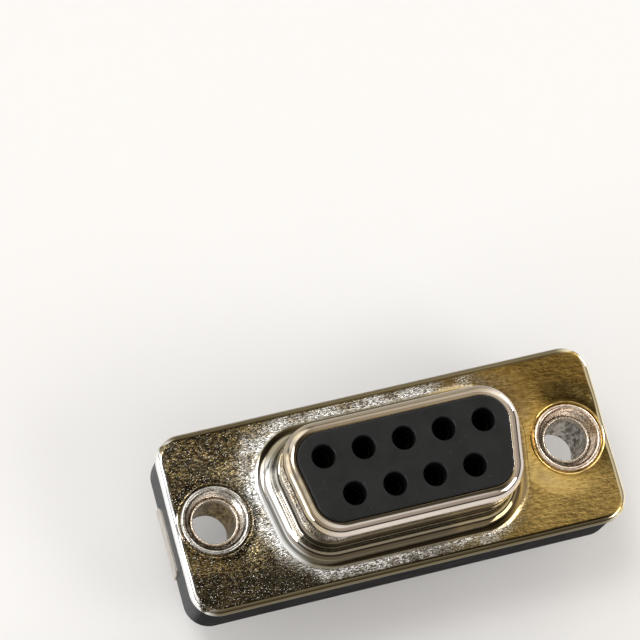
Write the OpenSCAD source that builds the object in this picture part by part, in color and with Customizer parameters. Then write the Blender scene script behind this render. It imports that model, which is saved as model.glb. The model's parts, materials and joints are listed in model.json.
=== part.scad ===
// Nine-way D-sub socket connector, straight, with solder tails for a circuit board.
// Z = 0 is the front face of the flange, +Z points the way the mating plug leaves,
// X runs along the flange, and the row of five contacts is on the +Y side.

/* [Flange] */
// Distance from a mounting hole's axis to the flange's end
flange_end = 2.91; // [2.8:0.01:3.1]
// Width of the metal flange
flange_width = 12.55; // [12.4:0.01:12.8]
// Corner radius of the flange
flange_corner_r = 1.9; // [1.4:0.1:2.4]
// Thickness of the sheet that the front shell is drawn from
sheet = 0.45; // [0.38:0.01:0.5]
// Rounding of the flange's front edge
flange_edge_r = 0.3; // [0.1:0.05:0.35]
// Distance from the nose's end to the axis of the mounting hole beside it
hole_offset = 4.33; // [4.3:0.01:4.5]

/* [D-shaped nose] */
// Distance from the outermost contact's axis to the nose's end
nose_end = 2.625; // [2.56:0.005:2.66]
// Distance from a row of contacts to the nose's long side
nose_side = 2.53; // [2.48:0.01:2.58]
// Height of the nose's metal rim over the flange
nose_height = 5.65; // [5.4:0.05:6]
// Radius of the nose's four upright corners
nose_corner_r = 2.6; // [2.4:0.05:2.8]
// Slope of the nose's two ends, in degrees
nose_slope = 10; // [9:0.5:11]
// Radius over which the rim turns inwards
rim_r = 0.75; // [0.6:0.05:0.9]
// Flat lip of the rim that lies over the insulator
rim_lip = 0.08; // [0.02:0.02:0.2]
// Radius of the hollow at the foot of the nose
foot_r = 0.9; // [0.6:0.05:1.1]
// Height of the low step round the foot
step_height = 0.15; // [0.08:0.01:0.25]
// Bending radius of that step
step_r = 0.6; // [0.5:0.05:0.8]

/* [Eyelets] */
// Radius of the through-bore of an eyelet
bore_r = 1.55; // [1.5:0.05:1.65]
// Wall of an eyelet
eyelet_wall = 0.35; // [0.25:0.05:0.4]
// Outer radius of an eyelet's rolled rim
eyelet_rim_r = 2.36; // [2.25:0.01:2.5]
// Depth of the dimple coined into the flange for the rim
dimple_depth = 0.25; // [0.2:0.01:0.3]
// Rounding of the dimple's upper edge
dimple_r = 0.18; // [0.1:0.01:0.19]
// Height of the rolled rim over the dimple's floor
eyelet_rim_height = 0.3; // [0.25:0.01:0.45]
// Depth of the funnel from the rim to the bore
funnel_depth = 0.6; // [0.4:0.05:0.9]

/* [Contacts] */
// Distance between neighbours in a row
pitch = 2.77; // [2.74:0.01:2.8]
// Distance between the two rows
row_spacing = 2.84; // [2.8:0.01:2.9]
// Radius of the bore that takes a plug's pin
socket_r = 0.51; // [0.5:0.01:0.53]
// Outer radius of the socket barrel
barrel_r = 0.72; // [0.68:0.01:0.76]
// Depth of the socket bore
socket_depth = 5; // [4:0.1:5]
// Width of the two slots that split the barrel
slot_width = 0.2; // [0.15:0.01:0.25]
// Length of the slots
slot_length = 3.8; // [3:0.1:4.4]
// Radius of the collar that the insulators hold
collar_r = 1.02; // [0.95:0.01:1.1]
// Thickness of the collar
collar_height = 0.6; // [0.4:0.05:0.8]
// Radius of the shank that fills the rear insulator
shank_r = 0.6; // [0.5:0.02:0.66]
// Radius of a solder tail
tail_r = 0.38; // [0.35:0.01:0.4]
// Length of a tail behind the rear insulator
tail_length = 3.98; // [3:0.01:5]
// Bevel on a tail's tip
tip_bevel = 0.14; // [0.05:0.01:0.25]

/* [Insulators] */
// How far the insulator's face stands over the nose's metal rim
face_proud = 0.25; // [0.15:0.01:0.5]
// Rounding of the face's edge
face_edge_r = 0.12; // [0.05:0.01:0.2]
// Depth of the socket's mouth below the face
mouth_depth = 1.3; // [0.8:0.05:1.6]
// Radius of the nine holes in the face
cavity_r = 0.8; // [0.78:0.01:0.85]
// Bevel round each hole in the face
cavity_bevel = 0.06; // [0.02:0.01:0.1]
// How far the front insulator's base reaches past the nose's ends, hidden under the flange
base_end = 0.935; // [0.7:0.005:1]
// How far that base reaches past the nose's long sides
base_side = 1.35; // [1.2:0.01:1.4]
// Thickness of that base
base_height = 1.2; // [1:0.05:1.4]
// Corner radius of that base
base_corner_r = 1.5; // [1:0.1:2]
// Distance from the flange's front to the back of the rear insulator
body_depth = 5.2; // [5:0.05:6]
// How far the rear insulator stays inside the flange's outline
body_inset = 0.17; // [0.1:0.01:0.25]
// Chamfer round the rear insulator's back edge
body_chamfer = 0.18; // [0.05:0.01:0.3]

/* [Recess in the long side] */
// Distance of the recess's middle from the connector's middle
recess_x = 5.57; // [5:0.01:6]
// Width of the recess
recess_width = 2.5; // [2:0.1:3]
// Height of the recess, from the flange towards the back
recess_height = 2.4; // [2:0.1:2.8]
// Depth of the recess
recess_depth = 0.35; // [0.2:0.01:0.5]

/* [Board side] */
// Thickness of the ground brackets and height of the standoffs
board_gap = 0.4; // [0.35:0.01:0.5]
// Radius of a standoff
standoff_r = 0.88; // [0.8:0.01:1]
// Distance of a standoff from the mounting hole's axis beside it, along the flange
standoff_offset = 4.695; // [4.5:0.005:5]
// Distance of the standoffs from the middle, across the flange
standoff_y = 3.8; // [3.4:0.1:4.2]
// Width of a ground bracket
bracket_width = 4.8; // [4.6:0.05:5.1]
// Length of a bracket from the hole's axis to its inner end
bracket_reach = 2.4; // [2.4:0.05:2.8]
// Height of the tab folded up the end face
tab_height = 1.6; // [1.2:0.05:2.2]
// Corner radius of the tab
tab_corner_r = 0.3; // [0.1:0.05:0.5]
// Inner radius of the fold
fold_r = 0.12; // [0.05:0.01:0.2]
// Width of the relief slits beside the fold
relief_width = 0.28; // [0.2:0.01:0.4]
// Depth of the relief slits
relief_depth = 0.55; // [0.3:0.01:0.7]

/* [Fits] */
// Running clearance between an insulator and what it holds or fills
clearance = 0.05; // [0.03:0.01:0.08]

/* [Hidden] */
$fn = 64;
arc_steps = 5;
step_arc = 3;
edge_arc = 3;
layer_fn = 48;
layer_overlap = 0.02;
overcut = 1;
ROW_OF_FIVE = 5;
CONTACTS = 9;
nose_width = (ROW_OF_FIVE - 1) * pitch + 2 * nose_end;
nose_depth = row_spacing + 2 * nose_side;
hole_x = nose_width / 2 + hole_offset;
flange_length = 2 * (hole_x + flange_end);
face_height = nose_height + face_proud;
base_length = nose_width + 2 * base_end;
base_width = nose_depth + 2 * base_side;
standoff_x = hole_x - standoff_offset;
flange_back = -sheet;
body_back = -body_depth;
board_plane = body_back - board_gap;
tail_tip = body_back - tail_length;
body_length = flange_length - 2 * body_inset;
body_width = flange_width - 2 * body_inset;
body_corner_r = flange_corner_r - body_inset;
eyelet_outer_r = bore_r + eyelet_wall;
eyelet_hole_r = eyelet_outer_r + clearance;
socket_mouth = face_height - mouth_depth;
base_back = flange_back - base_height;
collar_back = base_back - collar_height;
shoulder = nose_height - sheet - clearance;
bracket_end = body_length / 2 + board_gap;

// A point rounded to a ten-thousandth of a millimetre, so that stacked layers meet exactly.
function snapped(p) = [for (v = p) round(v * 10000) / 10000];

// Points of an arc about c, from angle a to angle b.
function arc(c, r, a, b, steps = arc_steps) =
    [for (i = [0:steps]) let (t = a + (b - a) * i / steps) c + r * [cos(t), sin(t)]];

// Turn of each of the two arcs of a bend that shifts a sheet sideways by h.
function shift_turn(h, r) = acos(1 - h / (2 * r));

// Run of that bend along the sheet.
function shift_run(h, r) = 2 * r * sin(shift_turn(h, r));

// Corner centres of the D outline, anticlockwise.
function d_centres() =
    let (
        x = nose_width / 2 - nose_corner_r,
        y = nose_depth / 2 - nose_corner_r,
        narrow_x = x - 2 * y * tan(nose_slope)
    )
    [for (c = [[x, y], [-x, y], [-narrow_x, -y], [narrow_x, -y]]) snapped(c)];

// Corner centres of a rounded rectangle, anticlockwise.
function box_centres(length, width, r) =
    let (x = length / 2 - r, y = width / 2 - r)
    [[x, y], [-x, y], [-x, -y], [x, -y]];

// Direction of the outward normal of the side that runs from a to b.
function normal(a, b) = atan2(a[0] - b[0], b[1] - a[1]);

// Place of contact n, counted from the +X end: five on the +Y side, then four.
function contact_place(n) =
    n <= ROW_OF_FIVE
        ? [(3 - n) * pitch, row_spacing / 2]
        : [(7.5 - n) * pitch, -row_spacing / 2];

// Carries its 2D child, drawn as (distance from the corner centres, height), round a closed outline.
module sweep(centres) {
    n = len(centres);
    for (i = [0:n - 1]) {
        before = centres[(i + n - 1) % n];
        here = centres[i];
        after = centres[(i + 1) % n];
        from = normal(before, here);
        turn = (normal(here, after) - from + 360) % 360;
        translate([here[0], here[1], 0])
            rotate([0, 0, from])
                rotate_extrude(angle = turn) children();
        translate([after[0], after[1], 0])
            rotate([90, 0, normal(here, after)])
                linear_extrude(height = norm(after - here)) children();
    }
}

// A prism over the whole outline, with the 2D child as the section of its edge.
module filled_sweep(centres, bottom, top) {
    sweep(centres) children();
    translate([0, 0, bottom])
        linear_extrude(height = top - bottom) polygon(centres);
}

// A plain prism over an outline with corner radius r.
module prism(centres, r, bottom, top) {
    filled_sweep(centres, bottom, top)
        translate([0, bottom]) square([r, top - bottom]);
}

// Outline of all that the drawn nose encloses, its own sheet included, as (corner radius, height).
function nose_outside() =
    let (
        turn = shift_turn(step_height, step_r),
        foot = nose_corner_r + foot_r,
        step_outer = foot + shift_run(step_height, step_r)
    )
    concat(
        [[step_outer, flange_back / 2]],
        arc([step_outer, step_r], step_r, 270, 270 - turn, step_arc),
        arc([foot, step_height - step_r], step_r, 90 - turn, 90, step_arc),
        arc([foot, step_height + foot_r], foot_r, 270, 180),
        arc([nose_corner_r - rim_r, nose_height - rim_r], rim_r, 0, 90)
    );

// Outline of the hollow inside the drawn nose, open at the rim and at the back.
function nose_inside() =
    let (
        turn = shift_turn(step_height, step_r),
        foot = nose_corner_r + foot_r,
        step_outer = foot + shift_run(step_height, step_r),
        rim_x = nose_corner_r - rim_r
    )
    concat(
        [[step_outer, flange_back - overcut]],
        arc([step_outer, step_r], step_r + sheet, 270, 270 - turn, step_arc),
        arc([foot, step_height - step_r], step_r - sheet, 90 - turn, 90, step_arc),
        arc([foot, step_height + foot_r], foot_r + sheet, 270, 180),
        arc([rim_x, nose_height - rim_r], rim_r - sheet, 0, 90),
        [[rim_x - rim_lip, nose_height - sheet], [rim_x - rim_lip, nose_height + overcut]]
    );

// Outline of the flange, with its front edge rounded.
function flange_edge() =
    let (r = flange_corner_r - flange_edge_r)
    concat(
        [[flange_corner_r, flange_back]],
        arc([r, -flange_edge_r], flange_edge_r, 0, 90, step_arc)
    );

// Stacks layers about the corner centres, with corner radius and height following the outline.
// The outline narrows upwards, and each layer reaches a little way down into the one below.
module layers(centres, outline) {
    for (i = [0:len(outline) - 2]) {
        low = snapped(outline[i]);
        high = snapped(outline[i + 1]);
        if (high[1] - low[1] > 1e-6)
            hull() for (c = centres) translate([c[0], c[1], low[1]]) {
                cylinder(h = high[1] - low[1], r1 = low[0], r2 = high[0], $fn = layer_fn);
                if (i > 0) translate([0, 0, -layer_overlap])
                    cylinder(h = layer_overlap, r = low[0], $fn = layer_fn);
            }
    }
}

// Section of the hole and the coined dimple that take an eyelet, as (distance from its axis, height).
module dimple_section() {
    floor_r = eyelet_rim_r + clearance;
    polygon(concat(
        [[0, flange_back - overcut], [eyelet_hole_r, flange_back - overcut], [eyelet_hole_r, -dimple_depth],
            [floor_r, -dimple_depth]],
        arc([floor_r + dimple_r, -dimple_r], dimple_r, 180, 90),
        [[floor_r + dimple_r, overcut], [0, overcut]]
    ));
}

module at_holes() {
    for (side = [-1, 1]) translate([side * hole_x, 0, 0]) children();
}

// The plated steel shell: flange, dimples and the drawn D-shaped nose in one sheet.
module front_shell() {
    color("goldenrod") difference() {
        union() {
            layers(box_centres(flange_length, flange_width, flange_corner_r), flange_edge());
            layers(d_centres(), nose_outside());
        }
        layers(d_centres(), nose_inside());
        at_holes() rotate_extrude($fn = layer_fn) dimple_section();
    }
}

// Outline of the front insulator's nose, stepped to lie under the metal rim, as (corner radius, height).
function insulator_nose() =
    let (
        wall = nose_corner_r - sheet - clearance,
        lip = nose_corner_r - rim_r - rim_lip - clearance,
        bevel = wall - lip
    )
    concat(
        [[wall, base_back], [wall, shoulder - bevel], [lip, shoulder]],
        arc([lip - face_edge_r, face_height - face_edge_r], face_edge_r, 0, 90, edge_arc)
    );

// The front insulator: a D-shaped nose with nine cavities, on a base under the flange.
module front_insulator() {
    color([0.14, 0.145, 0.155]) difference() {
        union() {
            layers(d_centres(), insulator_nose());
            layers(box_centres(base_length, base_width, base_corner_r),
                [[base_corner_r, base_back], [base_corner_r, flange_back - clearance]]);
        }
        for (n = [1:CONTACTS]) translate(contact_place(n)) {
            translate([0, 0, base_back - overcut])
                cylinder(h = face_height - base_back + 2 * overcut, r = cavity_r);
            translate([0, 0, face_height - cavity_bevel])
                cylinder(h = 2 * cavity_bevel, r1 = cavity_r, r2 = cavity_r + 2 * cavity_bevel);
        }
    }
}

// Section of the rear insulator, with its back edge chamfered.
module body_section() {
    r = body_corner_r;
    polygon([
        [0, body_back], [r - body_chamfer, body_back], [r, body_back + body_chamfer],
        [r, flange_back], [0, flange_back]
    ]);
}

// Stepped hole that holds one contact in the rear insulator.
module contact_hole() {
    translate([0, 0, collar_back - clearance])
        cylinder(h = body_depth, r = collar_r + clearance);
    translate([0, 0, body_back - overcut])
        cylinder(h = body_depth, r = shank_r + clearance);
}

// The rear insulator: the full-size moulded body behind the flange.
module rear_insulator() {
    color([0.06, 0.06, 0.065]) {
        difference() {
            filled_sweep(box_centres(body_length, body_width, body_corner_r), body_back, flange_back)
                body_section();
            prism(box_centres(base_length + 2 * clearance, base_width + 2 * clearance,
                base_corner_r + clearance), base_corner_r + clearance, base_back - clearance, overcut);
            for (n = [1:CONTACTS]) translate(contact_place(n)) contact_hole();
            at_holes() translate([0, 0, body_back - overcut])
                cylinder(h = body_depth + 2 * overcut, r = eyelet_hole_r);
            translate([recess_x - recess_width / 2, body_width / 2 - recess_depth,
                flange_back - recess_height])
                cube([recess_width, recess_depth + overcut, recess_height + overcut]);
        }
        for (side = [-1, 1])
            translate([side * standoff_x, standoff_y, board_plane])
                cylinder(h = 2 * board_gap, r = standoff_r);
    }
}

// One turned contact: split socket, collar, shank and solder tail.
module contact(n) {
    place = contact_place(n);
    mouth_bevel = (barrel_r - socket_r) / 2;
    color("gold") translate([place[0], place[1], 0]) difference() {
        rotate_extrude() polygon([
            [0, tail_tip], [tail_r - tip_bevel, tail_tip], [tail_r, tail_tip + tip_bevel],
            [tail_r, body_back], [shank_r, body_back], [shank_r, collar_back],
            [collar_r, collar_back], [collar_r, base_back - clearance],
            [barrel_r, base_back - clearance], [barrel_r, socket_mouth - mouth_bevel],
            [barrel_r - mouth_bevel, socket_mouth], [socket_r, socket_mouth],
            [socket_r, socket_mouth - socket_depth], [0, socket_mouth - socket_depth]
        ]);
        translate([-slot_width / 2, -2 * barrel_r, socket_mouth - slot_length])
            cube([slot_width, 4 * barrel_r, slot_length + overcut]);
    }
}

// Section of an eyelet, as (distance from the axis, height).
module eyelet_section() {
    roll = (eyelet_rim_r - eyelet_outer_r) / 2;
    crest = [eyelet_rim_r - roll, -dimple_depth + eyelet_rim_height - roll];
    funnel_top = crest[1] - roll / 2;
    flare = board_gap / 2;
    polygon(concat(
        [[bore_r, body_back - board_gap / 2], [bore_r + flare, board_plane],
            [eyelet_outer_r + flare, board_plane], [eyelet_outer_r, body_back],
            [eyelet_outer_r, -dimple_depth], [eyelet_rim_r, -dimple_depth]],
        arc(crest, roll, 0, 180),
        [[crest[0] - roll, funnel_top], [bore_r, funnel_top - funnel_depth]]
    ));
}

module eyelet(side) {
    color("silver") translate([side * hole_x, 0, 0]) rotate_extrude() eyelet_section();
}

// Side view of a bracket, as (distance from the middle, height): plate, fold and tab.
module bracket_profile() {
    inner = body_length / 2;
    turn = [inner - fold_r, body_back + fold_r];
    polygon(concat(
        [[hole_x - bracket_reach, body_back]],
        arc(turn, fold_r, 270, 360),
        [[inner, body_back + tab_height], [bracket_end, body_back + tab_height]],
        arc(turn, fold_r + board_gap, 360, 270),
        [[hole_x - bracket_reach, board_plane]]
    ));
}

// Ground bracket: a plate that the eyelet clamps to the back, with a tab up the end face.
module ground_bracket(side) {
    flare = board_gap / 2;
    relief_x = body_length / 2 - fold_r - relief_width;
    color("tan") mirror([side < 0 ? 1 : 0, 0, 0]) difference() {
        translate([0, bracket_width / 2, 0]) rotate([90, 0, 0])
            linear_extrude(height = bracket_width) bracket_profile();
        translate([hole_x, 0, board_plane])
            cylinder(h = board_gap, r1 = eyelet_hole_r + flare, r2 = eyelet_hole_r);
        for (y = [-1, 1])
            translate([relief_x, y * bracket_width / 2 - relief_depth, board_plane - overcut])
                cube([relief_width, 2 * relief_depth, board_gap + 2 * overcut]);
        for (y = [-1, 1]) mirror([0, y < 0 ? 1 : 0, 0])
            translate([0, bracket_width / 2 - tab_corner_r, body_back + tab_height - tab_corner_r])
                rotate([0, 90, 0]) mirror([1, 0, 0]) corner_cut();
    }
}

// Removes what lies outside a quarter round of the tab's corner.
module corner_cut() {
    translate([0, 0, body_length / 2 - overcut]) linear_extrude(height = board_gap + 2 * overcut)
        difference() {
            square(2 * tab_corner_r);
            circle(r = tab_corner_r);
        }
}

front_shell();
front_insulator();
rear_insulator();
contact(1);  // contact_1
contact(2);  // contact_2
contact(3);  // contact_3
contact(4);  // contact_4
contact(5);  // contact_5
contact(6);  // contact_6
contact(7);  // contact_7
contact(8);  // contact_8
contact(9);  // contact_9
eyelet(-1);  // eyelet_left
eyelet(1);  // eyelet_right
ground_bracket(-1);  // ground_bracket_left
ground_bracket(1);  // ground_bracket_right
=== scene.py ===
"""Looks for the nine-way D-sub socket connector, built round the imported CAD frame."""
import json
import math

import bpy
from mathutils import Matrix, Vector
from mathutils.geometry import delaunay_2d_cdt

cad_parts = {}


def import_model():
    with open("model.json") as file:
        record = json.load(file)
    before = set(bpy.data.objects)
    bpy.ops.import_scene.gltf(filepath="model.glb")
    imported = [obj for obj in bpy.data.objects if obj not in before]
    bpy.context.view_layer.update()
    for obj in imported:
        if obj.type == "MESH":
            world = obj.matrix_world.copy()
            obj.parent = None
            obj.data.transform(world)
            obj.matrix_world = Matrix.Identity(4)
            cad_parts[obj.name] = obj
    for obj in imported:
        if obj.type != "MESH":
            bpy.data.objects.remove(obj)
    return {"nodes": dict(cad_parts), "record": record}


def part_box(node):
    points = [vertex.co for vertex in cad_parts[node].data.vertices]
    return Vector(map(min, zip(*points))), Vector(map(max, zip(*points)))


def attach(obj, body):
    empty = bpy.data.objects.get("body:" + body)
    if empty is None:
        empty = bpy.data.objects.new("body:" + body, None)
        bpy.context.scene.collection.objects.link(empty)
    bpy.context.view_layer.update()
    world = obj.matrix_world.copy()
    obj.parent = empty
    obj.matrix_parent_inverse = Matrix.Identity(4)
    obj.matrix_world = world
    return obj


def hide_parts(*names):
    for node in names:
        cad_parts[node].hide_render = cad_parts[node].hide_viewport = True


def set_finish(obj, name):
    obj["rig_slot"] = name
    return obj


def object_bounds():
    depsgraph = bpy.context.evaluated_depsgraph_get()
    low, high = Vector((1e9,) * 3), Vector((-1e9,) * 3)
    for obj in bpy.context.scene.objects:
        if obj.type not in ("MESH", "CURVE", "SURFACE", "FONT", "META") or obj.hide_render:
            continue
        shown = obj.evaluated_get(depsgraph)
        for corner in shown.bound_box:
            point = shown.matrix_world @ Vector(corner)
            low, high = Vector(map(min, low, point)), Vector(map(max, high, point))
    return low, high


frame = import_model()
cad_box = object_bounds()

MM = 0.001

# ---------------------------------------------------------------- sizes, in millimetres
# the flange and nose: length, width and corner radius
FLANGE = (30.81, 12.55, 1.9)
NOSE = (16.33, 7.9, 2.6)
SHEET = 0.45
FLANGE_EDGE_R = 0.42
FLANGE_BEVEL = 0.05
HOLE_X = 12.495
NOSE_HEIGHT = 5.65
NOSE_SLOPE = math.radians(10)
RIM_R = 0.75
RIM_LIP = 0.08
LIP_R = 0.04
FOOT_R = 0.9
STEP_HEIGHT = 0.15
STEP_R = 0.6
# the flange's gentle form: a dish round each eyelet and a fall away from the nose
DISH_REACH = 1.5
DISH_DEPTH = 0.12
SLOPE_START = 1.55
SLOPE_REACH = 2.4
SLOPE_DROP = 0.07
DIMPLE_DEPTH = 0.25
DIMPLE_R = 0.18
# the eyelets; the funnel is a list of (radius, height) from the rim down
BORE_R = 1.55
EYELET_OUTER_R = 1.9
EYELET_RIM_R = 2.36
EYELET_RIM_HEIGHT = 0.3
EYELET_ROLL_R = 0.17
EYELET_FUNNEL = [(1.88, -0.25), (1.74, -0.42), (1.60, -0.60)]
EYELET_EDGE_R = 1.47
EYELET_EDGE_ROLL_R = 0.07
EYELET_EDGE_Z = -0.70
EYELET_FLARE_Z = -1.1
EYELET_TUCK = 0.02
CLEARANCE = 0.05
BODY_BACK = -5.2
BOARD_GAP = 0.4
TAB_PROUD = 0.12
RECESS_X = 5.57

# how finely the skins are divided
ARC = 14
BEND = 10
TURNS = 96
GRID = 0.4
SIDE_SPLIT = 24
HEM = 0.05

# the fitted camera, in millimetres
CAMERA_PLACE = (-52.178, -39.261, 219.878)
CAMERA_RIGHT = (0.95264784, -0.26041172, 0.15699631)
CAMERA_UP = (0.21297237, 0.93993391, 0.26677145)
CAMERA_LENS = 191.63
SENSOR = 36

# the floor's half width, in metres
FLOOR_HALF = 4.0


# ---------------------------------------------------------------- outlines
def arc(cx, cy, r, a, b, steps):
    """Points of an arc from angle a to b, in degrees."""
    out = []
    for i in range(steps + 1):
        t = math.radians(a + (b - a) * i / steps)
        out.append((cx + r * math.cos(t), cy + r * math.sin(t)))
    return out


def box_centres(length, width, r):
    x, y = length / 2 - r, width / 2 - r
    return [(x, y), (-x, y), (-x, -y), (x, -y)]


def d_centres():
    x, y = NOSE[0] / 2 - NOSE[2], NOSE[1] / 2 - NOSE[2]
    narrow = x - 2 * y * math.tan(NOSE_SLOPE)
    return [(x, y), (-x, y), (-narrow, -y), (narrow, -y)]


def side_normal(a, b):
    return math.atan2(a[0] - b[0], b[1] - a[1])


def ring(centres, r, steps=ARC, split=6):
    """The outline at corner radius r: arcs at the corners and evenly split sides."""
    points = []
    n = len(centres)
    for i, here in enumerate(centres):
        before, after = centres[i - 1], centres[(i + 1) % n]
        start = side_normal(before, here)
        turn = (side_normal(here, after) - start) % (2 * math.pi)
        for k in range(steps + 1):
            t = start + turn * k / steps
            points.append((here[0] + r * math.cos(t), here[1] + r * math.sin(t)))
        end = points[-1]
        t = start + turn
        nxt = (after[0] + r * math.cos(t), after[1] + r * math.sin(t))
        for k in range(1, split):
            f = k / split
            points.append((end[0] + (nxt[0] - end[0]) * f, end[1] + (nxt[1] - end[1]) * f))
    return points


def circle(cx, cy, r, steps=64):
    return [(cx + r * math.cos(2 * math.pi * i / steps), cy + r * math.sin(2 * math.pi * i / steps))
            for i in range(steps)]


# ---------------------------------------------------------------- mesh building
class Skin:
    """Collects faces in millimetres and welds points that meet."""

    def __init__(self):
        self.points, self.index, self.faces = [], {}, []

    def point(self, p):
        key = tuple(round(v * 20000) for v in p)
        if key not in self.index:
            self.index[key] = len(self.points)
            self.points.append(tuple(p))
        return self.index[key]

    def face(self, *points):
        ids = []
        for p in points:
            i = self.point(p)
            if i not in ids:
                ids.append(i)
        if len(ids) > 2:
            self.faces.append(ids)

    def loft(self, rings):
        """Joins closed rings of equal length, given as lists of 3D points."""
        for low, high in zip(rings, rings[1:]):
            n = len(low)
            for i in range(n):
                j = (i + 1) % n
                self.face(low[i], low[j], high[j], high[i])

    def sheet(self, outer, holes, height, up, grid=0.0):
        """A flat or gently formed region between closed outlines; height(x, y) gives its z."""
        points, edges = [], []
        loops = [outer] + holes
        for loop in loops:
            start = len(points)
            points += [Vector(p) for p in loop]
            edges += [(start + i, start + (i + 1) % len(loop)) for i in range(len(loop))]
        if grid:
            (left, right), (low, high) = [(min(v), max(v)) for v in zip(*outer)]
            nx, ny = int((right - left) / grid), int((high - low) / grid)
            for i in range(1, nx):
                for j in range(1, ny):
                    p = (left + (right - left) * i / nx, low + (high - low) * j / ny)
                    if inside(p, outer) and not any(inside(p, h) for h in holes) \
                            and min(distance(p, loop) for loop in loops) > grid / 2:
                        points.append(Vector(p))
        verts, _, tris, _, _, _ = delaunay_2d_cdt(points, edges, [], 0, 1e-6)
        for tri in tris:
            cx = sum(verts[k][0] for k in tri) / 3
            cy = sum(verts[k][1] for k in tri) / 3
            if not inside((cx, cy), outer) or any(inside((cx, cy), h) for h in holes):
                continue
            corners = [(verts[k][0], verts[k][1], height(verts[k][0], verts[k][1])) for k in tri]
            (ax, ay, _), (bx, by, _), (dx, dy, _) = corners
            anticlockwise = (bx - ax) * (dy - ay) - (by - ay) * (dx - ax) > 0
            if anticlockwise != up:
                corners.reverse()
            self.face(*corners)

    def build(self, name, sharp=40):
        mesh = bpy.data.meshes.new(name)
        mesh.from_pydata([Vector(p) * MM for p in self.points], [], self.faces)
        mesh.validate()
        mesh.shade_smooth()
        mesh.set_sharp_from_angle(angle=math.radians(sharp))
        piece = bpy.data.objects.new(name, mesh)
        bpy.context.scene.collection.objects.link(piece)
        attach(piece, "root")
        return piece


def inside(p, loop):
    x, y = p
    found = False
    for (ax, ay), (bx, by) in zip(loop, loop[1:] + loop[:1]):
        if (ay > y) != (by > y) and x < (bx - ax) * (y - ay) / (by - ay) + ax:
            found = not found
    return found


def distance(p, loop):
    return min(math.hypot(p[0] - q[0], p[1] - q[1]) for q in loop)


def lift(points, z):
    return [(x, y, z) for x, y in points]


def nose_distance(x, y):
    """How far a point of the flange lies outside the nose's wall."""
    centres = d_centres()
    nearest = []
    for (ax, ay), (bx, by) in zip(centres, centres[1:] + centres[:1]):
        along = ((x - ax) * (bx - ax) + (y - ay) * (by - ay)) / ((bx - ax) ** 2 + (by - ay) ** 2)
        along = min(1.0, max(0.0, along))
        nearest.append(math.hypot(x - ax - along * (bx - ax), y - ay - along * (by - ay)))
    return min(nearest) - NOSE[2]


# ---------------------------------------------------------------- front shell
def shell_relief(x, y):
    """The gentle form of the flange: it falls away from the nose and dishes round each eyelet."""
    r = math.hypot(abs(x) - HOLE_X, y)
    t = min(1.0, (r - EYELET_RIM_R - CLEARANCE - DIMPLE_R) / DISH_REACH)
    dish = DISH_DEPTH * (1 - t) ** 2 * (1 + 2 * t)
    t = min(1.0, max(0.0, (nose_distance(x, y) - SLOPE_START) / SLOPE_REACH))
    return -dish - SLOPE_DROP * t * t * (3 - 2 * t)


def nose_section():
    """The drawn nose as (distance outside the corner centres, height), all round the sheet."""
    turn = math.degrees(math.acos(1 - STEP_HEIGHT / (2 * STEP_R)))
    foot = NOSE[2] + FOOT_R
    step_outer = foot + 2 * STEP_R * math.sin(math.radians(turn))
    rim = NOSE[2] - RIM_R
    lip = rim - RIM_LIP
    section = [(step_outer + HEM, 0.0)]
    section += arc(step_outer, STEP_R, STEP_R, 270, 270 - turn, 6)
    section += arc(foot, STEP_HEIGHT - STEP_R, STEP_R, 90 - turn, 90, 4)
    section += arc(foot, STEP_HEIGHT + FOOT_R, FOOT_R, 270, 180, BEND)
    section += arc(rim, NOSE_HEIGHT - RIM_R, RIM_R, 0, 90, BEND)
    # over the rim and back down inside
    section += [(lip + LIP_R, NOSE_HEIGHT)]
    section += arc(lip + LIP_R, NOSE_HEIGHT - LIP_R, LIP_R, 100, 180, 3)
    section += [(lip, NOSE_HEIGHT - SHEET)]
    section += arc(rim, NOSE_HEIGHT - RIM_R, RIM_R - SHEET, 90, 0, 4)
    section += arc(foot, STEP_HEIGHT + FOOT_R, FOOT_R + SHEET, 180, 270, 6)
    section += [(step_outer, -SHEET)]
    return section


def dimple_rings(side):
    """The dimple round one eyelet, from its hole out to the flange."""
    hole_r = EYELET_OUTER_R + CLEARANCE
    floor_r = EYELET_RIM_R + CLEARANCE
    section = [(hole_r, -SHEET), (hole_r, -DIMPLE_DEPTH), (floor_r, -DIMPLE_DEPTH)]
    section += arc(floor_r + DIMPLE_R, -DIMPLE_R, DIMPLE_R, 180, 90, 8)
    section += [(floor_r + DIMPLE_R + HEM, 0.0)]
    rings = [lift(circle(side * HOLE_X, 0, r), z) for r, z in section]
    rings[-2:] = [[(x, y, shell_relief(x, y)) for x, y, _ in loop] for loop in rings[-2:]]
    return rings


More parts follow.
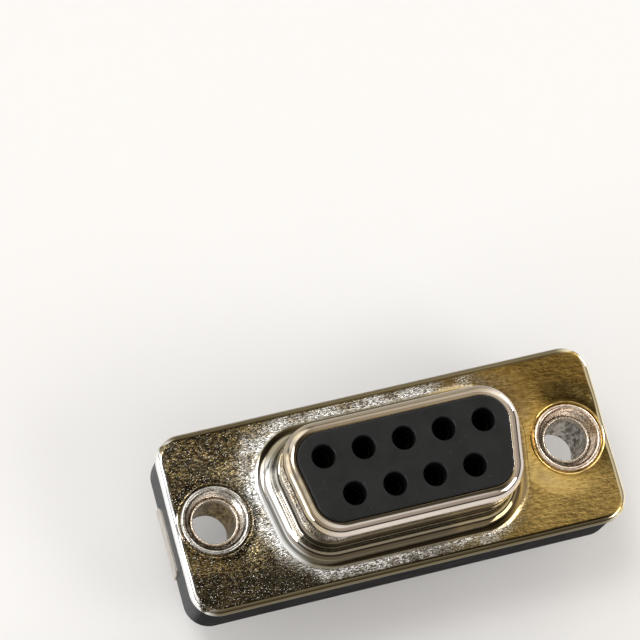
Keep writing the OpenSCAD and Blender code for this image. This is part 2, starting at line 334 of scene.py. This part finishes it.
def front_shell():
    """The whole drawn sheet: nose, flange with a rounded edge, both dimples and the back."""
    skin = Skin()
    box = box_centres(*FLANGE)
    nose = d_centres()
    section = nose_section()
    skin.loft([lift(ring(nose, r), z) for r, z in section])

    inner = FLANGE[2] - FLANGE_EDGE_R
    back_edge = FLANGE[2] - FLANGE_BEVEL
    edge = [(back_edge, -SHEET), (FLANGE[2], FLANGE_BEVEL - SHEET)]
    edge += arc(inner, -FLANGE_EDGE_R, FLANGE_EDGE_R, 0, 90, 12)
    edge += [(inner - HEM, 0.0)]
    outlines = [(ring(box, r, split=SIDE_SPLIT), z) for r, z in edge]
    skin.loft([[(x, y, z + shell_relief(x, y)) for x, y in loop] for loop, z in outlines])

    rims, back_holes = [], [ring(nose, section[-1][0])]
    for side in (-1, 1):
        rings = dimple_rings(side)
        skin.loft([list(reversed(loop)) for loop in rings])
        rims.append([(x, y) for x, y, _ in rings[-1]])
        back_holes.append([(x, y) for x, y, _ in rings[0]])

    def back_height(x, y):
        on_hole = min(distance((x, y), loop) for loop in back_holes) < 0.01
        return -SHEET if on_hole else shell_relief(x, y) - SHEET

    front = ring(box, inner - HEM, split=SIDE_SPLIT)
    skin.sheet(front, [ring(nose, section[0][0])] + rims, shell_relief, True, GRID)
    skin.sheet(ring(box, back_edge, split=SIDE_SPLIT), back_holes, back_height, False)
    piece = skin.build("shell_skin")
    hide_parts("front_shell")
    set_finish(piece, "plated_steel")
    return piece


# ---------------------------------------------------------------- eyelets
def eyelet(side, node):
    """A flared tube: rolled rim, conical funnel with a bright inner edge, and the bore."""
    crest = (EYELET_RIM_R - EYELET_ROLL_R, EYELET_RIM_HEIGHT - DIMPLE_DEPTH - EYELET_ROLL_R)
    inside_crest = crest[0] - EYELET_ROLL_R
    flare = BOARD_GAP / 2
    section = [(EYELET_EDGE_R, BODY_BACK - flare), (BORE_R + flare, BODY_BACK - BOARD_GAP),
               (EYELET_OUTER_R + flare, BODY_BACK - BOARD_GAP), (EYELET_OUTER_R, BODY_BACK),
               (EYELET_OUTER_R, EYELET_FLARE_Z), (inside_crest, -DIMPLE_DEPTH - 0.05),
               (EYELET_RIM_R, -DIMPLE_DEPTH - EYELET_TUCK)]
    section += arc(*crest, EYELET_ROLL_R, -10, 150, 12)
    section += [(inside_crest - EYELET_TUCK, crest[1] - EYELET_TUCK)] + EYELET_FUNNEL
    section += arc(EYELET_EDGE_R + EYELET_EDGE_ROLL_R, EYELET_EDGE_Z, EYELET_EDGE_ROLL_R, 50, 180, 6)
    section += [(EYELET_EDGE_R, EYELET_EDGE_Z - 0.2)]
    skin = Skin()
    rings = [lift(circle(side * HOLE_X, 0, r, TURNS), z) for r, z in section]
    skin.loft(rings + rings[:1])
    piece = skin.build(node + "_skin", 50)
    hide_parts(node)
    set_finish(piece, "eyelet_metal")
    return piece


# ---------------------------------------------------------------- brackets
def bracket(node):
    """The folded ground bracket, its tab let in almost flush with the housing's end."""
    mesh = frame["nodes"][node].data.copy()
    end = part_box("rear_insulator")[1][0]
    for vertex in mesh.vertices:
        proud = abs(vertex.co.x) - end
        if proud > 0:
            vertex.co.x = math.copysign(end + proud * TAB_PROUD / BOARD_GAP, vertex.co.x)
    mesh.materials.clear()
    piece = bpy.data.objects.new(node + "_skin", mesh)
    bpy.context.scene.collection.objects.link(piece)
    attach(piece, "root")
    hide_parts(node)
    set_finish(piece, "bracket_metal")
    return piece


# ---------------------------------------------------------------- materials
class Nodes:
    """A small builder for a node tree."""

    def __init__(self, tree):
        self.tree = tree

    def link(self, value, socket):
        if isinstance(value, bpy.types.NodeSocket):
            self.tree.links.new(value, socket)
        else:
            socket.default_value = value

    def vector(self, operation, a, b=None, scale=None):
        node = self.tree.nodes.new("ShaderNodeVectorMath")
        node.operation = operation
        self.link(a, node.inputs[0])
        if b is not None:
            self.link(b, node.inputs[1])
        if scale is not None:
            node.inputs["Scale"].default_value = scale
        return node.outputs["Value" if operation in ("LENGTH", "DOT_PRODUCT") else "Vector"]

    def math(self, operation, a, b=None):
        node = self.tree.nodes.new("ShaderNodeMath")
        node.operation = operation
        self.link(a, node.inputs[0])
        if b is not None:
            self.link(b, node.inputs[1])
        return node.outputs[0]

    def step(self, value, low, high, to_low=0.0, to_high=1.0):
        node = self.tree.nodes.new("ShaderNodeMapRange")
        node.interpolation_type = "SMOOTHSTEP"
        for socket, v in zip(node.inputs, (value, low, high, to_low, to_high)):
            self.link(v, socket)
        return node.outputs[0]

    def noise(self, scale, detail=2.0, rough=0.5, stretch=(1, 1, 1), seed=0.0):
        node = self.tree.nodes.new("ShaderNodeTexNoise")
        node.noise_dimensions = "3D"
        place = self.vector("MULTIPLY", self.place, stretch)
        place = self.vector("ADD", place, (seed, seed * 1.7, seed * 0.3))
        self.link(place, node.inputs["Vector"])
        node.inputs["Scale"].default_value = scale
        node.inputs["Detail"].default_value = detail
        node.inputs["Roughness"].default_value = rough
        return node.outputs[0]

    def plus(self, a, b):
        return self.math("ADD", a, b)

    def times(self, a, *rest):
        for b in rest:
            a = self.math("MULTIPLY", a, b)
        return a

    def flip(self, value):
        return self.math("SUBTRACT", 1.0, value)

    def absolute(self, value):
        return self.math("ABSOLUTE", value)

    def length(self, a, b):
        return self.math("SQRT", self.plus(self.times(a, a), self.times(b, b)))

    def mix(self, factor, a, b):
        node = self.tree.nodes.new("ShaderNodeMix")
        node.data_type = "RGBA"
        self.link(factor, node.inputs[0])
        self.link(a if isinstance(a, bpy.types.NodeSocket) else (*a, 1), node.inputs[6])
        self.link(b if isinstance(b, bpy.types.NodeSocket) else (*b, 1), node.inputs[7])
        return node.outputs[2]

    def bump(self, height, strength, distance, normal=None):
        node = self.tree.nodes.new("ShaderNodeBump")
        self.link(height, node.inputs["Height"])
        self.link(strength, node.inputs["Strength"])
        node.inputs["Distance"].default_value = distance * MM
        if normal is not None:
            self.link(normal, node.inputs["Normal"])
        return node.outputs[0]

    def split(self, vector):
        node = self.tree.nodes.new("ShaderNodeSeparateXYZ")
        self.link(vector, node.inputs[0])
        return node.outputs

    def ramp(self, value, stops):
        """A colour ramp; stops are (position, colour)."""
        node = self.tree.nodes.new("ShaderNodeValToRGB")
        self.link(value, node.inputs[0])
        elements = node.color_ramp.elements
        for i, (at, colour) in enumerate(stops):
            element = elements[i] if i < 2 else elements.new(at)
            element.position = at
            element.color = (*colour, 1)
        return node.outputs[0]


class Paint(Nodes):
    """A builder for one material, with positions in millimetres."""

    def __init__(self, name):
        self.material = bpy.data.materials.new(name)
        self.material.use_nodes = True
        super().__init__(self.material.node_tree)
        self.shader = self.tree.nodes["Principled BSDF"]
        place = self.tree.nodes.new("ShaderNodeTexCoord")
        self.place = self.vector("SCALE", place.outputs["Object"], scale=1 / MM)
        self.x, self.y, self.z = self.split(self.place)

    def from_nose(self):
        """How far a point lies outside the nose's wall."""
        centre = NOSE[1] / 2 - NOSE[2]
        taper = self.times(self.math("SUBTRACT", centre, self.y), math.tan(NOSE_SLOPE))
        over_x = self.math("SUBTRACT", self.absolute(self.x), NOSE[0] / 2 - NOSE[2])
        over_x = self.math("MAXIMUM", self.plus(over_x, taper), 0.0)
        over_y = self.math("MAXIMUM", self.math("SUBTRACT", self.absolute(self.y), centre), 0.0)
        return self.math("SUBTRACT", self.length(over_x, over_y), NOSE[2])

    def finish(self, **sockets):
        for name, value in sockets.items():
            socket = self.shader.inputs[name.replace("_", " ")]
            if isinstance(value, tuple):
                value = (*value, 1)
            self.link(value, socket)
        return self.material


def plated_steel():
    """Bright plating: dark olive to the left, golden to the right, silver where the nose was drawn.
    The split is partly plating tint and partly painted reflection; the silver, the white specks and
    the tones on the edge, foot and nose are painted highlight and shade.
    """
    p = Paint("plated_steel_finish")
    # where each finish lies
    on_flange = p.step(p.z, 0.03, 0.14, 1.0, 0.0)
    hole = p.length(p.math("SUBTRACT", p.absolute(p.x), HOLE_X), p.y)
    off_dish = p.step(hole, EYELET_RIM_R + 0.2, EYELET_RIM_R + 1.0, 0.2, 1.0)
    past_end = p.math("SUBTRACT", p.absolute(p.x), FLANGE[0] / 2)
    past_side = p.math("SUBTRACT", p.absolute(p.y), FLANGE[1] / 2)
    edge = p.step(p.math("MAXIMUM", past_end, past_side), -0.55, -0.38)
    worked = p.times(on_flange, off_dish, p.flip(edge))
    wander = p.math("SUBTRACT", p.noise(0.45, 3, 0.6, seed=4), 0.5)
    # partly plating tint, partly painted reflection: the left of the flange mirrors dark and the right
    # warm, and this mask paints that split into the colour
    golden = p.step(p.plus(p.x, p.times(wander, 9.0)), 1.5, 9.0)
    near = p.step(p.plus(p.from_nose(), p.times(wander, 2.4)), 1.4, 2.6, 1.0, 0.0)
    fading = p.step(p.plus(p.x, p.times(wander, 6.0)), 2.0, 10.0, 1.0, 0.15)
    patchy = p.step(p.noise(0.8, 3, 0.6, seed=15), 0.40, 0.58, 0.45, 1.0)
    drawn = p.times(near, fading, patchy)
    grain = p.noise(8.0, 3, 0.62, (0.55, 1.25, 1))
    streak = p.noise(4.6, 3, 0.6, (0.45, 1.3, 1), 2)
    glint_speck = p.step(p.noise(12.0, 1, 0.5, (0.8, 1.2, 1), 7), 0.64, 0.73)
    mottle = p.noise(1.1, 4, 0.65, (0.8, 1.1, 1), 11)
    # the flange
    # painted reflection: the olive's dark base with light grain copies the dark, sparkling mirror
    # image on the left
    olive = p.mix(p.step(grain, 0.44, 0.62), (0.07, 0.055, 0.03), (0.84, 0.66, 0.34))
    olive = p.mix(p.step(mottle, 0.42, 0.62, 0.0, 0.6), olive, (0.06, 0.05, 0.035))
    # painted shade: the olive darkens towards the -Y side
    shaded_low_side = p.step(p.plus(p.y, p.times(wander, 4.0)), -2.0, -4.5, 0.0, 0.7)
    olive = p.mix(shaded_low_side, olive, (0.05, 0.045, 0.03))
    gold = p.mix(p.step(streak, 0.3, 0.7), (0.50, 0.33, 0.09), (0.95, 0.72, 0.27))
    gold = p.mix(p.step(mottle, 0.45, 0.70, 0.0, 0.35), gold, (0.34, 0.22, 0.07))
    # painted shade: the gold darkens towards the +Y side
    shaded_high_side = p.step(p.plus(p.y, p.times(wander, 3.0)), 1.0, 3.6, 0.0, 0.6)
    gold = p.mix(shaded_high_side, gold, (0.20, 0.13, 0.05))
    # painted highlight: the gold brightens towards the -Y side, a bright crescent below the eyelet
    gold = p.mix(p.step(p.y, -0.5, -2.5, 0.0, 0.35), gold, (1.0, 0.80, 0.40))
    colour = p.mix(golden, olive, gold)
    # painted highlight: white glints on the olive side; the same specks are also raised as a bump
    # below
    colour = p.mix(p.times(glint_speck, p.flip(golden)), colour, (0.95, 0.95, 0.94))
    # painted reflection: near-white and dark grain where the nose was drawn, copying its sparkle; the
    # drawn zone's roughness is in the bump below
    silver = p.mix(p.step(grain, 0.38, 0.60), (0.14, 0.13, 0.11), (0.97, 0.97, 0.96))
    colour = p.mix(drawn, colour, silver)
    # painted highlight and shade on the rolled edge: near-white at the left end, pale gold at the
    # right, dark along the long sides
    hem = p.mix(p.step(p.x, -15.0, -13.8), (0.95, 0.95, 0.94), (0.17, 0.14, 0.08))
    hem = p.mix(p.step(p.x, 13.2, 14.8), hem, (0.95, 0.86, 0.62))
    colour = p.mix(edge, colour, hem)
    # the foot, with a painted dark line round it as shade at the step, and a painted highlight on its
    # left
    lit_left_foot = p.times(p.step(p.x, -6.8, -8.2), p.step(p.y, 2.0, 3.6, 1.0, 0.0))
    foot_tone = p.mix(golden, (0.22, 0.19, 0.13), (0.62, 0.48, 0.24))
    foot_tone = p.mix(lit_left_foot, foot_tone, (0.90, 0.90, 0.88))
    line = p.times(p.step(p.z, 0.152, 0.158), p.step(p.z, 0.185, 0.21, 1.0, 0.0))
    foot_tone = p.mix(p.times(line, 0.85), foot_tone, (0.09, 0.075, 0.05))
    colour = p.mix(on_flange, foot_tone, colour)
    # the nose's wall and rim, with painted shade on the +Y side, at the left end and low on the wall
    nose_tone = p.mix(p.noise(0.35, 2, seed=2), (0.66, 0.58, 0.50), (0.80, 0.73, 0.66))
    nose_tone = p.mix(p.step(p.y, 2.9, 3.7, 0.0, 0.85), nose_tone, (0.24, 0.19, 0.12))
    painted_end_shade = p.mix(p.step(p.noise(0.6, 2, seed=21), 0.4, 0.6), (0.20, 0.17, 0.12), (0.46, 0.37, 0.22))
    nose_tone = p.mix(p.step(p.x, -5.6, -7.0, 0.0, 0.75), nose_tone, painted_end_shade)
    wall_tone = p.mix(p.step(p.z, 1.8, 3.8), (0.11, 0.085, 0.05), nose_tone)
    colour = p.mix(p.step(p.z, 0.45, 1.0), colour, wall_tone)
    # grain and bump
    roughness = p.plus(p.times(worked, 0.10), p.step(streak, 0.3, 0.8, 0.05, 0.09))
    left_grip = p.times(worked, p.flip(golden))
    normal = p.bump(p.noise(0.9, 2, 0.5, seed=3), 0.15, 0.03)
    normal = p.bump(grain, left_grip, 0.016, normal)
    normal = p.bump(grain, p.times(worked, drawn), 0.042, normal)
    normal = p.bump(glint_speck, left_grip, 0.035, normal)
    normal = p.bump(streak, p.times(worked, golden), 0.018, normal)
    return p.finish(Base_Color=colour, Metallic=1.0, Roughness=roughness, Normal=normal)


def eyelet_metal():
    """Scuffed steel with a dark bore to the left, a coppery rim with a bright bore to the right; the
    dark bore is painted shade and the bright one a painted highlight.
    """
    p = Paint("eyelet_finish")
    scuff = p.noise(3.2, 3, 0.65, (1, 1, 0.35))
    fine = p.noise(9, 2, 0.6, seed=5)
    steel = p.mix(p.step(scuff, 0.3, 0.7), (0.36, 0.34, 0.31), (0.66, 0.65, 0.62))
    copper = p.mix(p.step(scuff, 0.3, 0.7), (0.58, 0.44, 0.34), (0.90, 0.80, 0.68))
    rim = p.mix(p.step(p.x, -1.0, 1.0), steel, copper)
    funnel = p.mix(p.step(fine, 0.35, 0.65), (0.58, 0.46, 0.35), (0.95, 0.90, 0.82))
    # painted shade in the left bore, painted highlight in the right one
    bore = p.mix(p.step(scuff, 0.38, 0.62), (0.04, 0.03, 0.02), (0.52, 0.42, 0.26))
    painted_lit_bore = p.mix(p.step(scuff, 0.38, 0.62), (0.16, 0.16, 0.15), (0.95, 0.95, 0.95))
    bore = p.mix(p.step(p.x, -1.0, 1.0), bore, painted_lit_bore)
    tone = p.mix(p.step(p.z, -0.45, -0.12), funnel, rim)
    tone = p.mix(p.step(p.z, -1.5, -0.9), bore, tone)
    normal = p.bump(scuff, 0.3, 0.05)
    normal = p.bump(fine, 0.4, 0.03, normal)
    return p.finish(Base_Color=tone, Metallic=1.0, Roughness=p.step(scuff, 0.2, 0.8, 0.14, 0.3),
                    Specular_Tint=(0.56, 0.50, 0.42), Normal=normal)


def front_plastic():
    """Matt black moulding with a little dust, darker down in the holes as painted shade."""
    p = Paint("front_plastic_finish")
    cloud = p.noise(0.5, 4, 0.6)
    fine = p.noise(14, 3, 0.7, seed=3)
    dust = p.step(p.noise(4.2, 2, 0.6, seed=9), 0.68, 0.76)
    tone = p.mix(p.step(cloud, 0.3, 0.7), (0.004, 0.0044, 0.0048), (0.009, 0.0095, 0.010))
    tone = p.mix(p.times(dust, 0.25), tone, (0.14, 0.14, 0.13))
    # painted shade: below the face the hole walls get one even dark tone without dust
    tone = p.mix(p.step(p.z, 3.6, 5.75), (0.006, 0.006, 0.006), tone)
    normal = p.bump(fine, 0.3, 0.015)
    return p.finish(Base_Color=tone, Roughness=p.step(cloud, 0.3, 0.7, 0.48, 0.6),
                    Specular_IOR_Level=0.28, Normal=normal)


def rear_plastic():
    """Black moulding with drag marks, greyer at both ends as a painted sheen, and greyer in the side
    recess.
    """
    p = Paint("rear_plastic_finish")
    cloud = p.noise(0.35, 3, 0.6)
    fine = p.noise(6, 3, 0.7, seed=3)
    drag = p.noise(5, 2, 0.6, (0.12, 1, 1.6), 6)
    tone = p.mix(p.step(cloud, 0.3, 0.7), (0.004, 0.004, 0.0045), (0.010, 0.010, 0.011))
    beside = p.absolute(p.math("SUBTRACT", p.x, RECESS_X))
    recess = p.times(p.step(p.y, 5.6, 5.8), p.step(beside, 1.2, 1.3, 1.0, 0.0), p.step(p.y, 5.9, 5.78))
    tone = p.mix(p.times(recess, 0.8), tone, (0.055, 0.053, 0.05))
    # painted sheen: both ends get a lighter grey, copying their glossy reflection; they are also made
    # smoother below
    ends = p.step(p.absolute(p.x), 14.6, 15.1)
    tone = p.mix(p.times(ends, 0.5), tone, (0.09, 0.094, 0.098))
    normal = p.bump(fine, 0.10, 0.02)
    normal = p.bump(drag, 0.05, 0.02, normal)
    roughness = p.math("SUBTRACT", p.step(drag, 0.3, 0.8, 0.5, 0.66), p.times(ends, 0.2))
    return p.finish(Base_Color=tone, Roughness=roughness, Specular_IOR_Level=0.02, Normal=normal)


def contact_metal():
    """Gilt inside the sockets, nearly black in their shade, and tinned tails."""
    p = Paint("contact_finish")
    along = p.noise(5, 3, 0.6, (1, 1, 0.15))
    fine = p.noise(12, 2, 0.6, seed=5)
    gold = p.mix(p.step(along, 0.3, 0.7), (0.62, 0.40, 0.16), (0.86, 0.62, 0.28))
    tin = p.mix(p.step(along, 0.3, 0.7), (0.56, 0.54, 0.50), (0.80, 0.79, 0.76))
    tone = p.mix(p.step(p.z, BODY_BACK - 0.1, BODY_BACK + 0.6), tin, gold)
    tone = p.mix(p.step(p.z, -1.2, -0.8), tone, (0.012, 0.008, 0.004))
    normal = p.bump(along, 0.3, 0.03)
    normal = p.bump(fine, 0.15, 0.015, normal)
    roughness = p.step(fine, 0.2, 0.8, 0.16, 0.34)
    return p.finish(Base_Color=tone, Metallic=1.0, Roughness=roughness, Normal=normal)


def bracket_metal():
    """Dull tin over brass, with the brass showing on the sheared sides."""
    p = Paint("bracket_finish")
    cloud = p.noise(1.1, 3, 0.6)
    brush = p.noise(5, 3, 0.65, (1, 0.12, 1), 4)
    tone = p.mix(p.step(cloud, 0.3, 0.7), (0.58, 0.54, 0.48), (0.72, 0.68, 0.62))
    sheared = p.step(p.absolute(p.y), 2.33, 2.39)
    tone = p.mix(p.times(sheared, 0.7), tone, (0.42, 0.30, 0.20))
    normal = p.bump(brush, 0.3, 0.02)
    roughness = p.step(brush, 0.3, 0.8, 0.3, 0.42)
    return p.finish(Base_Color=tone, Metallic=1.0, Roughness=roughness, Normal=normal)


# ---------------------------------------------------------------- pieces
finishes = {
    "plated_steel": plated_steel(), "eyelet_metal": eyelet_metal(), "front_plastic": front_plastic(),
    "rear_plastic": rear_plastic(), "contact_metal": contact_metal(), "bracket_metal": bracket_metal(),
}
for part in frame["record"]["subparts"]:
    for material_slot in frame["nodes"][part["node"]].material_slots:
        material_slot.material = finishes[part["material_slot"]]

skins = [front_shell(), eyelet(-1, "eyelet_left"), eyelet(1, "eyelet_right"),
         bracket("ground_bracket_left"), bracket("ground_bracket_right")]
for piece in skins:
    piece.data.materials.append(finishes[piece["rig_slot"]])


# ---------------------------------------------------------------- floor, world and lights
def floor():
    low, half = cad_box[0][2], FLOOR_HALF
    corners = [(-half, -half, low), (half, -half, low), (half, half, low), (-half, half, low)]
    mesh = bpy.data.meshes.new("floor")
    mesh.from_pydata(corners, [], [(0, 1, 2, 3)])
    piece = bpy.data.objects.new("floor", mesh)
    bpy.context.scene.collection.objects.link(piece)
    material = bpy.data.materials.new("floor_finish")
    material.use_nodes = True
    shader = material.node_tree.nodes["Principled BSDF"]
    shader.inputs["Base Color"].default_value = (0.82, 0.82, 0.82, 1)
    shader.inputs["Roughness"].default_value = 0.8
    shader.inputs["Specular IOR Level"].default_value = 0.2
    mesh.materials.append(material)


def world():
    """A soft studio: pale horizon, dim belt, warm mid-height, and a top that runs from white
    through dark to gold. The plating mirrors it."""
    sky = bpy.data.worlds.new("studio")
    sky.use_nodes = True
    n = Nodes(sky.node_tree)
    place = n.tree.nodes.new("ShaderNodeTexCoord").outputs["Generated"]
    x, y, z = n.split(place)
    belt = n.ramp(z, [
        (0.0, (0.98, 0.98, 0.97)), (0.12, (0.92, 0.91, 0.90)), (0.20, (0.08, 0.07, 0.06)),
        (0.36, (0.06, 0.05, 0.045)), (0.50, (0.42, 0.37, 0.33)), (0.80, (0.46, 0.41, 0.37))])
    across = n.plus(n.plus(x, n.times(y, 0.5)), 0.1)
    top = n.ramp(across, [
        (0.0, (0.95, 0.95, 0.94)), (0.17, (0.80, 0.79, 0.77)), (0.24, (0.10, 0.085, 0.065)),
        (0.38, (0.045, 0.037, 0.025)), (0.46, (0.21, 0.175, 0.11)), (0.54, (0.68, 0.57, 0.37)),
        (0.75, (0.85, 0.83, 0.78))])
    colour = n.mix(n.step(z, 0.78, 0.90), belt, top)
    for aim, inner, outer, level in (
            ((-0.93, 0.22, 0.29), 0.97, 0.88, (2.0, 2.0, 2.0)),
            ((0.55, 0.72, 0.42), 0.96, 0.86, (1.3, 1.25, 1.15)),
            ((-0.30, 0.80, 0.52), 0.96, 0.88, (1.8, 1.8, 1.8))):
        near = n.vector("DOT_PRODUCT", place, tuple(Vector(aim).normalized()))
        colour = n.mix(n.step(near, outer, inner), colour, level)
    n.link(colour, n.tree.nodes["Background"].inputs["Color"])
    bpy.context.scene.world = sky


def lamp(name, place, size, power, tint=(1, 1, 1)):
    light = bpy.data.lights.new(name, "AREA")
    light.shape = "RECTANGLE"
    light.size, light.size_y = size
    light.energy = power
    light.color = tint
    piece = bpy.data.objects.new(name, light)
    piece.location = place
    piece.rotation_euler = (-Vector(place)).to_track_quat("-Z", "Y").to_euler()
    bpy.context.scene.collection.objects.link(piece)


def camera():
    right, up = Vector(CAMERA_RIGHT), Vector(CAMERA_UP)
    data = bpy.data.cameras.new("camera")
    data.sensor_width = SENSOR
    data.lens = CAMERA_LENS
    data.clip_start, data.clip_end = 0.01, 20
    piece = bpy.data.objects.new("camera", data)
    turn = Matrix((right, up, right.cross(up))).transposed().to_4x4()
    piece.matrix_world = Matrix.Translation(Vector(CAMERA_PLACE) * MM) @ turn
    bpy.context.scene.collection.objects.link(piece)
    bpy.context.scene.camera = piece


floor()
world()
lamp("key", (-0.42, 0.50, 1.40), (0.50, 0.50), 5.4, (1, 0.99, 0.97))
lamp("fill", (0.95, -0.75, 0.90), (0.70, 0.70), 5.8, (1, 0.98, 0.96))
lamp("low_left", (-1.10, -0.25, 0.28), (0.50, 0.25), 4.6, (1, 1, 1))
lamp("low_right", (1.05, 0.55, 0.28), (0.50, 0.25), 3.8, (1, 1, 1))
camera()
bpy.context.scene.view_settings.view_transform = "Standard"
